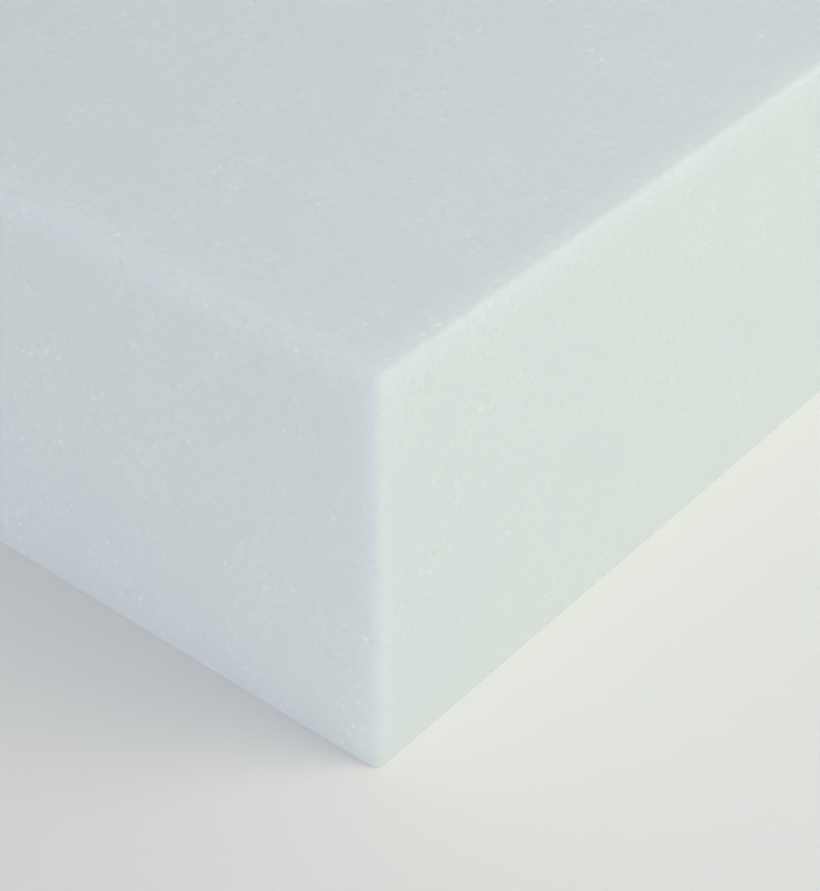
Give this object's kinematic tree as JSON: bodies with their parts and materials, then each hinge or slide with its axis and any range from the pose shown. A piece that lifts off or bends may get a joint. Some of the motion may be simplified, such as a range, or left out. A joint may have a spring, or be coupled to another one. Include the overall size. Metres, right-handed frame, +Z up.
{
  "type": "foam rubber pad",
  "caption": "Rectangular block of soft pale open-cell foam with lightly rounded cut edges, laid flat as a cushioning pad or yielding work surface on a bench or desk.",
  "frame": {"origin": "centre of the underside, on the surface that the pad lies on", "axes": "+X along the length, +Y along the width, +Z up through the thickness"},
  "size_m": [0.3, 0.2, 0.05],
  "materials": {
    "foam": "matte open-cell foam with fine cut cells"
  },
  "bodies": {
    "root": {"foam_pad": "foam"}
  },
  "joints": []
}
